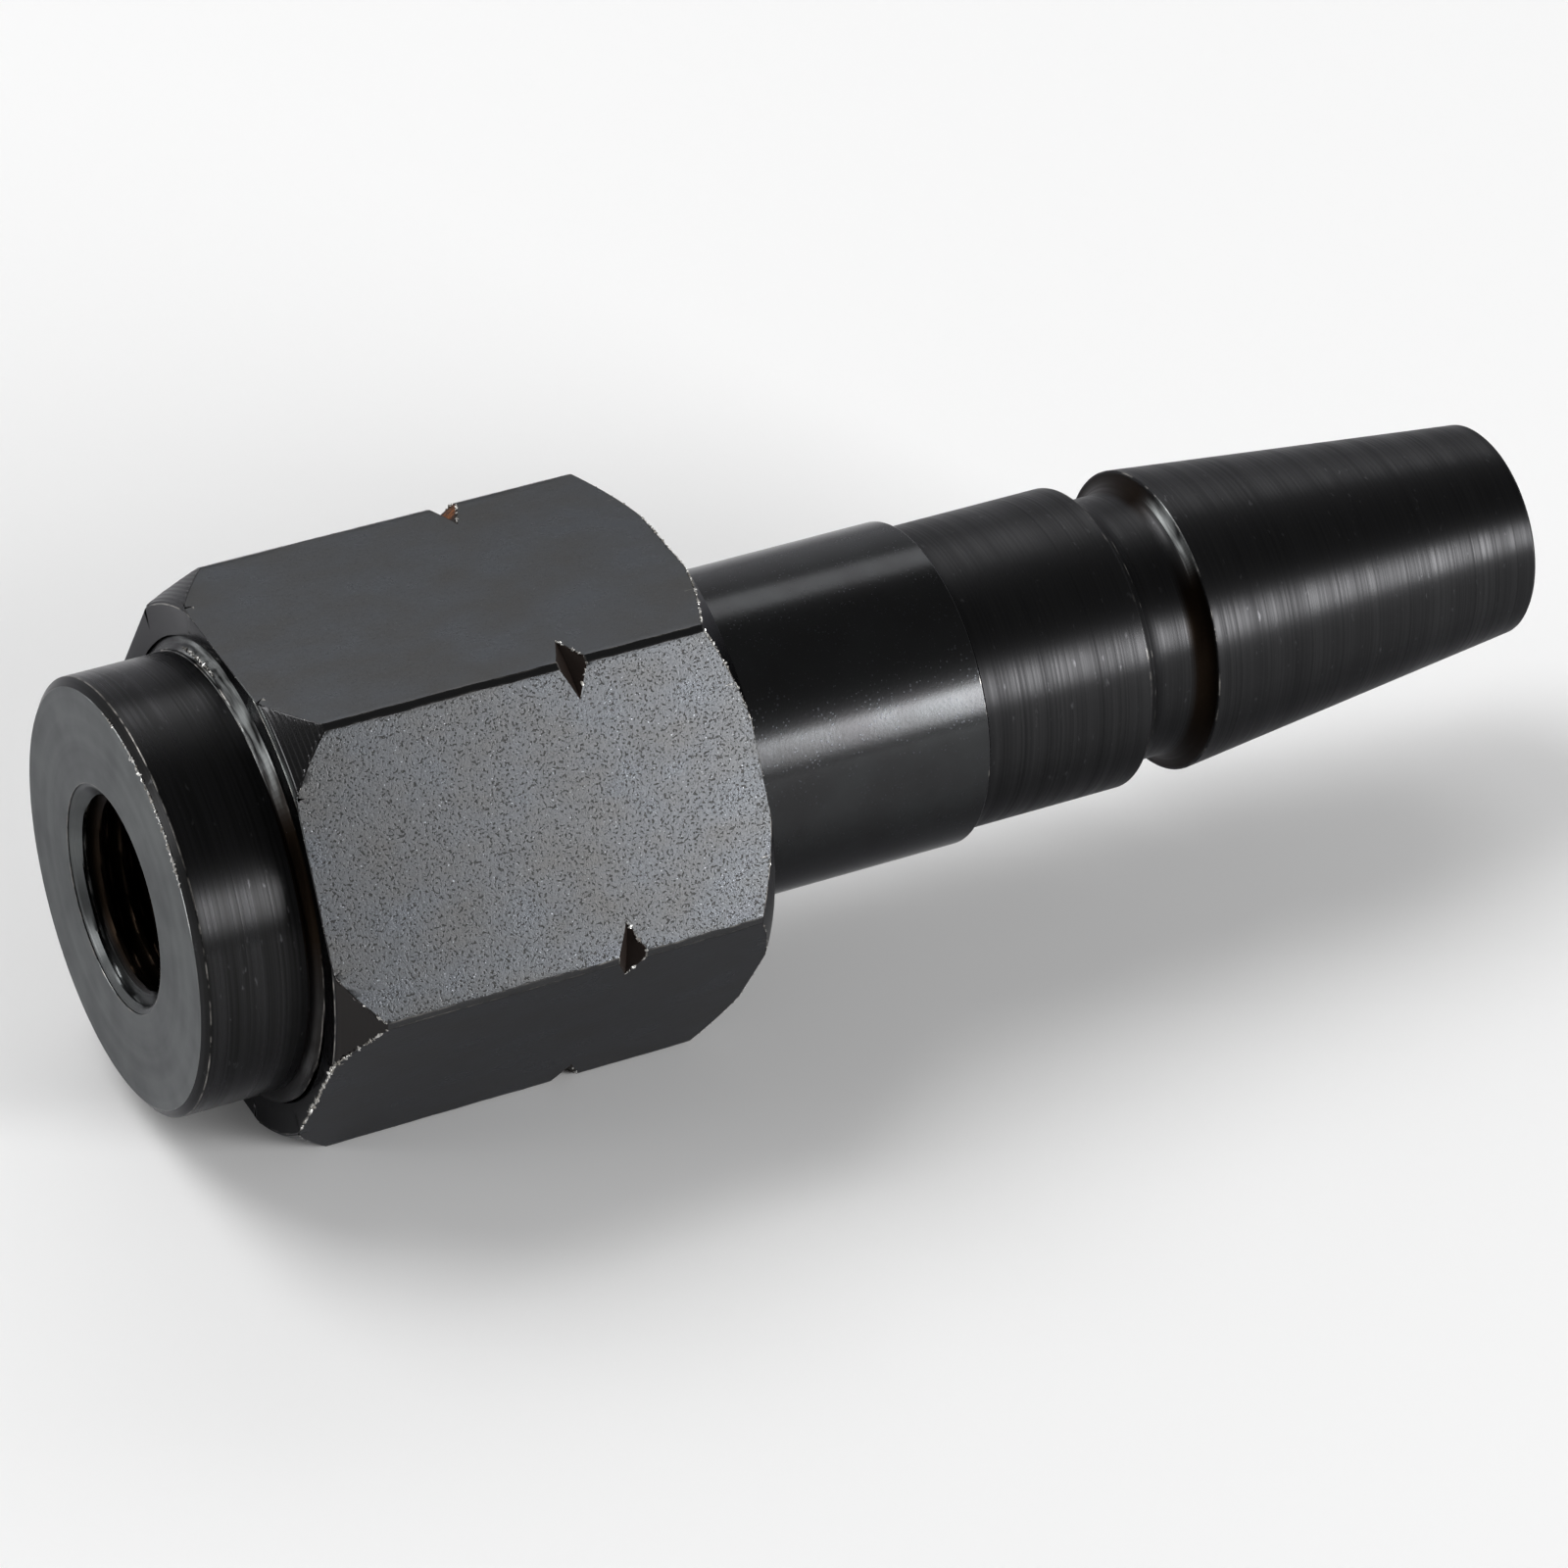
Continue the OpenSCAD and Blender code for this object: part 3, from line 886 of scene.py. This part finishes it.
def blasted_oxide(name):
    """Mild steel, ground, blasted with fine grit and black oxided: an even satin with the grit's specks.

    The specks are 0.1 to 0.2 mm wide. On the rim of a highlight they glint or stay dark.
    """
    made, tree, shader = material(name)
    shader.inputs["Metallic"].default_value = 1.0
    shader.inputs["Specular Tint"].default_value = linear(OXIDE_SHEEN)
    cloud = patches(tree, (3.5, 3.5), (0.35, 0.65), 4.0, 6.1)
    film = add(tree, "ShaderNodeMix", {0: cloud, 6: linear("#353536"), 7: linear("#3a3b3c")}, **COLOURS)
    smooth = add(tree, "ShaderNodeMapRange", {"Value": cloud, "To Min": 0.205, "To Max": 0.185})
    place = add(tree, "ShaderNodeTexCoord", out="Object")
    grit_width = 0.27 * MM
    cells = add(tree, "ShaderNodeTexVoronoi", {"Vector": place, "Scale": 1 / grit_width}, out="Distance")
    patch = grain(tree, 1.6, 1.6, 2.0, 8.1)
    uneven = add(tree, "ShaderNodeMath", {0: patch, 1: -0.5, 2: cells}, operation="MULTIPLY_ADD")
    speck = add(tree, "ShaderNodeMapRange", {"Value": uneven, "From Min": -0.03, "From Max": -0.13})
    rough = add(tree, "ShaderNodeMix", {0: speck, 2: smooth, 3: 0.28})
    grit = grain(tree, 0.2, 0.2, 2.0, 2.9)
    relief = add(tree, "ShaderNodeMath", {0: speck, 1: 0.3, 2: grit}, operation="MULTIPLY_ADD")
    bump = add(tree, "ShaderNodeBump", {"Strength": 1.0, "Distance": 0.0022 * MM, "Height": relief})
    worn = worn_share(tree, 0.6, 0.7)
    flecked = add(tree, "ShaderNodeMix", {0: speck, 6: film, 7: linear("#3c3d40")}, **COLOURS)
    surface_colour = add(tree, "ShaderNodeMix", {0: worn, 6: flecked, 7: linear(WORN_STEEL)}, **COLOURS)
    link_all(tree, shader, Base_Color=surface_colour, Roughness=rough, Normal=bump)
    return made


def scale_pits(tree):
    """Pits that scale left in the drawn bar: deep ones about 0.15 mm wide, and shallow, finer ones."""
    deep = patches(tree, (0.17, 0.15), (0.43, 0.33), 1.2, interpolation_type="SMOOTHSTEP")
    shallow = patches(tree, (0.12, 0.1), (0.5, 0.36), 2.0, 7.7, interpolation_type="SMOOTHSTEP")
    joined = {0: shallow, 1: 0.3, 2: deep}
    return add(tree, "ShaderNodeMath", joined, operation="MULTIPLY_ADD", use_clamp=True)


def notch_rust(tree):
    """The share and the colour of the rust in the notch of the upper back corner."""
    place = add(tree, "ShaderNodeTexCoord", out="Object")
    a = math.radians(FLAT_TURN)
    spot = (NOTCH_X * MM, NOTCH_R * math.cos(a) * MM, NOTCH_R * math.sin(a) * MM)
    away = add(tree, "ShaderNodeVectorMath", {0: place, 1: spot}, out="Value", operation="DISTANCE")
    edge = grain(tree, 0.3, 0.3, 3.0)
    ragged = add(tree, "ShaderNodeMath", {0: edge, 1: 0.9 * MM, 2: away}, operation="MULTIPLY_ADD")
    share = add(tree, "ShaderNodeMapRange", {"Value": ragged, "From Min": 1.5 * MM, "From Max": 1.1 * MM})
    crust = patches(tree, (0.25, 0.25), (0.35, 0.65), 3.0, 1.1)
    colour = add(tree, "ShaderNodeMix", {0: crust, 6: linear("#3b2113"), 7: linear("#8a5126")}, **COLOURS)
    return share, colour


def drawn_oxide(name):
    """Free-cutting steel hexagon bar, drawn, then turned at its ends and black oxided.

    The drawn flats have a low sheen and are full of pits left by scale, which catch no light. The turned
    faces are smoother and darker. Oxide is gone from some edges, and one notch has begun to rust. There
    is painted highlight on the mouth rim and painted shade in the notches, on the front corner's mouth
    chamfer and in the exit chamfer's sheen.
    """
    made, tree, shader = material(name)
    turned = add(tree, "ShaderNodeAttribute", out="Fac", attribute_name="turned")
    drawn = add(tree, "ShaderNodeMath", {0: 1.0, 1: turned}, operation="SUBTRACT")
    # Each flat's share of dark pits and pale flecks follows how they show under this light: partly painted
    # shade and glints
    pit_and_shade_share = add(tree, "ShaderNodeAttribute", out="Fac", attribute_name="pits_and_shade")
    pitted_flat = add(tree, "ShaderNodeMath", {0: drawn, 1: pit_and_shade_share}, operation="MULTIPLY")
    drawn_pit = add(tree, "ShaderNodeMath", {0: scale_pits(tree), 1: pitted_flat}, operation="MULTIPLY")
    cloud = patches(tree, (4.0, 2.4), (0.3, 0.7), 4.0, 2.2)
    fleck = patches(tree, (0.14, 0.12), (0.72, 0.78), 1.0, 6.4)
    bright_fleck = add(tree, "ShaderNodeMath", {0: fleck, 1: pitted_flat}, operation="MULTIPLY")
    # The oxide film with its flecks and pits, turned faces, worn edges, painted highlight and shade, and
    # rust
    film = add(tree, "ShaderNodeMix", {0: cloud, 6: linear("#404040"), 7: linear("#424447")}, **COLOURS)
    flecked = add(tree, "ShaderNodeMix", {0: bright_fleck, 6: film, 7: linear("#74767a")}, **COLOURS)
    pits_and_shade = add(tree, "ShaderNodeMix", {0: drawn_pit, 6: flecked, 7: linear("#2b2b2b")}, **COLOURS)
    cut = add(tree, "ShaderNodeMix", {0: turned, 6: pits_and_shade, 7: linear("#3d3d3e")}, **COLOURS)
    worn = worn_share(tree, 0.42, 0.64)
    edged = add(tree, "ShaderNodeMix", {0: worn, 6: cut, 7: linear("#94918c")}, **COLOURS)
    # Painted shade: the notch walls turn a dark, matt brown
    notch_shade = add(tree, "ShaderNodeAttribute", out="Fac", attribute_name="notch_shade")
    notch_shaded = add(tree, "ShaderNodeMix", {0: notch_shade, 6: edged, 7: linear("#1f1916")}, **COLOURS)
    # Pale steel for wear with a painted highlight, and painted shade, where the faces are marked for them
    surface_colour = wear_highlight_and_shade(tree, notch_shaded, "#8a8f8e")
    rust, rust_colour = notch_rust(tree)
    colour = add(tree, "ShaderNodeMix", {0: rust, 6: surface_colour, 7: rust_colour}, **COLOURS)
    # The notch walls' painted shade and the rust aren't metallic and don't shine
    rust_and_notch_shade = add(tree, "ShaderNodeMath", {0: rust, 1: notch_shade}, operation="MAXIMUM")
    metallic = add(tree, "ShaderNodeMath", {0: 1.0, 1: rust_and_notch_shade}, operation="SUBTRACT")
    # Painted shade: the exit chamfer's sheen is turned down so its reflection stays dark
    exit_shade = add(tree, "ShaderNodeAttribute", out="Fac", attribute_name="exit_shade")
    sheen = add(tree, "ShaderNodeMix", {0: exit_shade, 6: linear(OXIDE_SHEEN), 7: linear("#b4b4b6")}, **COLOURS)
    tint = add(tree, "ShaderNodeMix", {0: notch_shade, 6: sheen, 7: linear("#3c3836")}, **COLOURS)
    rough_flat = add(tree, "ShaderNodeMapRange", {"Value": cloud, "To Min": 0.29, "To Max": 0.27})
    rough_cut = add(tree, "ShaderNodeMix", {0: turned, 2: rough_flat, 3: 0.24})
    rough = add(tree, "ShaderNodeMix", {0: rust_and_notch_shade, 2: rough_cut, 3: 0.7})
    skin = grain(tree, 0.3, 0.22, 3.0, 9.5)
    relief = add(tree, "ShaderNodeMath", {0: drawn_pit, 1: -1.6, 2: skin}, operation="MULTIPLY_ADD")
    on_flats = add(tree, "ShaderNodeMath", {0: relief, 1: drawn}, operation="MULTIPLY")
    bump = add(tree, "ShaderNodeBump", {"Strength": 1.0, "Distance": 0.0045 * MM, "Height": on_flats})
    link_all(
        tree, shader, Base_Color=colour, Roughness=rough, Metallic=metallic, Normal=bump, Specular_Tint=tint,
    )
    return made


def torn_steel(name):
    """Bare mild steel of torn edges and burrs: pale, with a grey film in patches, so it glints unevenly."""
    made, tree, shader = material(name)
    shader.inputs["Metallic"].default_value = 1.0
    patch = patches(tree, (0.5, 0.5), (0.4, 0.6), 1.0)
    colour = add(tree, "ShaderNodeMix", {0: patch, 6: linear("#8a8782"), 7: linear("#d2d1ce")}, **COLOURS)
    rough = add(tree, "ShaderNodeMapRange", {"Value": patch, "To Min": 0.5, "To Max": 0.3})
    link_all(tree, shader, Base_Color=colour, Roughness=rough)
    return made


def nitrile_rubber(name):
    """Moulded nitrile rubber: matt black, with a faint bloom of moulding dust."""
    made, tree, shader = material(name)
    shader.inputs["Specular IOR Level"].default_value = 0.4
    bloom = patches(tree, (0.6, 0.6), (0.3, 0.7), 4.0)
    colour = add(tree, "ShaderNodeMix", {0: bloom, 6: linear("#161617"), 7: linear("#242425")}, **COLOURS)
    rough = add(tree, "ShaderNodeMapRange", {"Value": bloom, "To Min": 0.5, "To Max": 0.7})
    bump = add(tree, "ShaderNodeBump", {"Distance": 0.01 * MM, "Height": grain(tree, 0.15, 0.15, 2.0)})
    link_all(tree, shader, Base_Color=colour, Roughness=rough, Normal=bump)
    return made


# Studio


def direction(azimuth, elevation):
    """The way to something seen at an azimuth from the front and an elevation, in degrees."""
    a, e = math.radians(azimuth), math.radians(elevation)
    return Vector((math.sin(a) * math.cos(e), -math.cos(a) * math.cos(e), math.sin(e)))


def place_camera():
    """The photograph's own view: a long lens, from the left, in front and above, a little rolled."""
    azimuth, elevation, roll = -28.876, 36.067, math.radians(2.586)
    distance, focal_pixels, image_pixels = 413.6, 7058.56, 1600
    aim_x, aim_right, aim_up = 5.2, -7.08, -5.906
    nearest = 0.02
    back = direction(azimuth, elevation)
    level = direction(azimuth + 90, 0)
    upright = back.cross(level)
    right = level * math.cos(roll) + upright * math.sin(roll)
    up = upright * math.cos(roll) - level * math.sin(roll)
    aim = Vector((aim_x, 0, 0)) + right * aim_right + up * aim_up
    camera = bpy.data.objects.new("camera", bpy.data.cameras.new("camera"))
    camera.data.lens = focal_pixels / image_pixels * camera.data.sensor_width
    camera.data.clip_start = nearest
    matrix = Matrix((right, up, back)).transposed().to_4x4()
    matrix.translation = (aim + back * distance) * MM
    camera.matrix_world = matrix
    bpy.context.scene.collection.objects.link(camera)
    bpy.context.scene.camera = camera


def softbox(name, azimuth, elevation, width, height, radiance):
    """A rectangular lamp that faces the coupling, placed by the direction it is seen in, in metres."""
    distance = 0.9
    lamp = bpy.data.lights.new(name, "AREA")
    lamp.shape = "RECTANGLE"
    lamp.size, lamp.size_y = width, height
    lamp.energy = radiance * math.pi * width * height
    way = direction(azimuth, elevation)
    holder = bpy.data.objects.new(name, lamp)
    holder.location = way * distance
    holder.rotation_euler = way.to_track_quat("Z", "Y").to_euler()
    bpy.context.scene.collection.objects.link(holder)


def make_floor():
    """Pale paper under the coupling."""
    floor = bpy.data.meshes.new("floor")
    reach, level = 2.5, nut_low.z * MM
    corners = ((-reach, -reach), (reach, -reach), (reach, reach), (-reach, reach))
    floor.from_pydata([(x, y, level) for x, y in corners], [], [(0, 1, 2, 3)])
    piece = bpy.data.objects.new("floor", floor)
    bpy.context.scene.collection.objects.link(piece)
    made, tree, shader = material("floor_paper")
    shader.inputs["Base Color"].default_value = linear("#f5f5f5")
    shader.inputs["Roughness"].default_value = 0.9
    shader.inputs["Specular IOR Level"].default_value = 0.1
    floor.materials.append(made)


def make_world():
    """A room that is pale at the back and dark in front and overhead, so that the steel keeps its black."""
    in_front, behind, overhead = 0.35, 0.95, 0.17
    world = bpy.data.worlds.new("studio")
    bpy.context.scene.world = world
    world.use_nodes = True
    tree = world.node_tree
    tree.nodes.clear()
    output = tree.nodes.new("ShaderNodeOutputWorld")
    way = add(tree, "ShaderNodeTexCoord", out="Generated")
    height = add(tree, "ShaderNodeSeparateXYZ", {0: way}, out="Z")
    depth = add(tree, "ShaderNodeSeparateXYZ", {0: way}, out="Y")
    round_about = {"Value": depth, "From Min": -0.3, "From Max": 0.6, "To Min": in_front, "To Max": behind}
    horizon = add(tree, "ShaderNodeMapRange", round_about, interpolation_type="SMOOTHSTEP")
    upwards = {"Value": height, "From Min": 0.25, "From Max": 0.75, "To Min": horizon, "To Max": overhead}
    strength = add(tree, "ShaderNodeMapRange", upwards, interpolation_type="SMOOTHSTEP")
    sky = add(tree, "ShaderNodeBackground", {"Color": (1, 1, 1, 1), "Strength": strength})
    tree.links.new(sky, output.inputs[0])


bpy.context.scene.view_settings.view_transform = "Standard"

place_camera()
make_floor()
make_world()
# Each lamp's azimuth and elevation in degrees, width and height in metres, and radiance
softbox("front_right_softbox", 37.4, 15.5, 0.37, 0.27, 23.0)
softbox("back_left_softbox", -140, 54, 0.5, 0.5, 5.2)
softbox("left_softbox", -100, 15, 0.3, 0.3, 5.0)
softbox("back_reflector", 150, 44, 0.7, 0.24, 2.2)

tail = make_tail()
nut = make_nut()
plug = make_plug()
tail.data.materials.append(turned_oxide("tail_steel", "#222222", "#313132", (0.25, 0.34), 0.42))
nut.data.materials.append(drawn_oxide("nut_steel"))
plug.data.materials.append(turned_oxide("plug_steel", "#2a2a2b", "#353536", (0.33, 0.46), 0.5))
plug.data.materials.append(blasted_oxide("shank_steel"))
# The plug is blasted up to the end of its shank
for face in plug.data.polygons:
    face.material_index = int(face.center.x < (STEP_X - FINE) * MM)
torn_tree = torn_edge_tree()
torn = torn_steel("torn_steel")
nut_burrs = torn_edges("nut_burrs", torn_tree, nut_burr_paths(), torn, seed=11)
tail_burrs = torn_edges("tail_burrs", torn_tree, tail_burr_paths(), torn, seed=5)

for piece, body, slot in (
    (tail, "tail", "tail_steel"), (tail_burrs, "tail", "tail_steel"),
    (nut, "nut", "nut_steel"), (nut_burrs, "nut", "nut_steel"),
    (plug, "plug", "plug_steel"),
):
    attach(piece, body)
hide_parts("tail_piece")
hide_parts("union_nut")
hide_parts("plug")

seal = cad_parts["o_ring"]
seal.data.materials.clear()
seal.data.materials.append(nitrile_rubber("seal_rubber"))
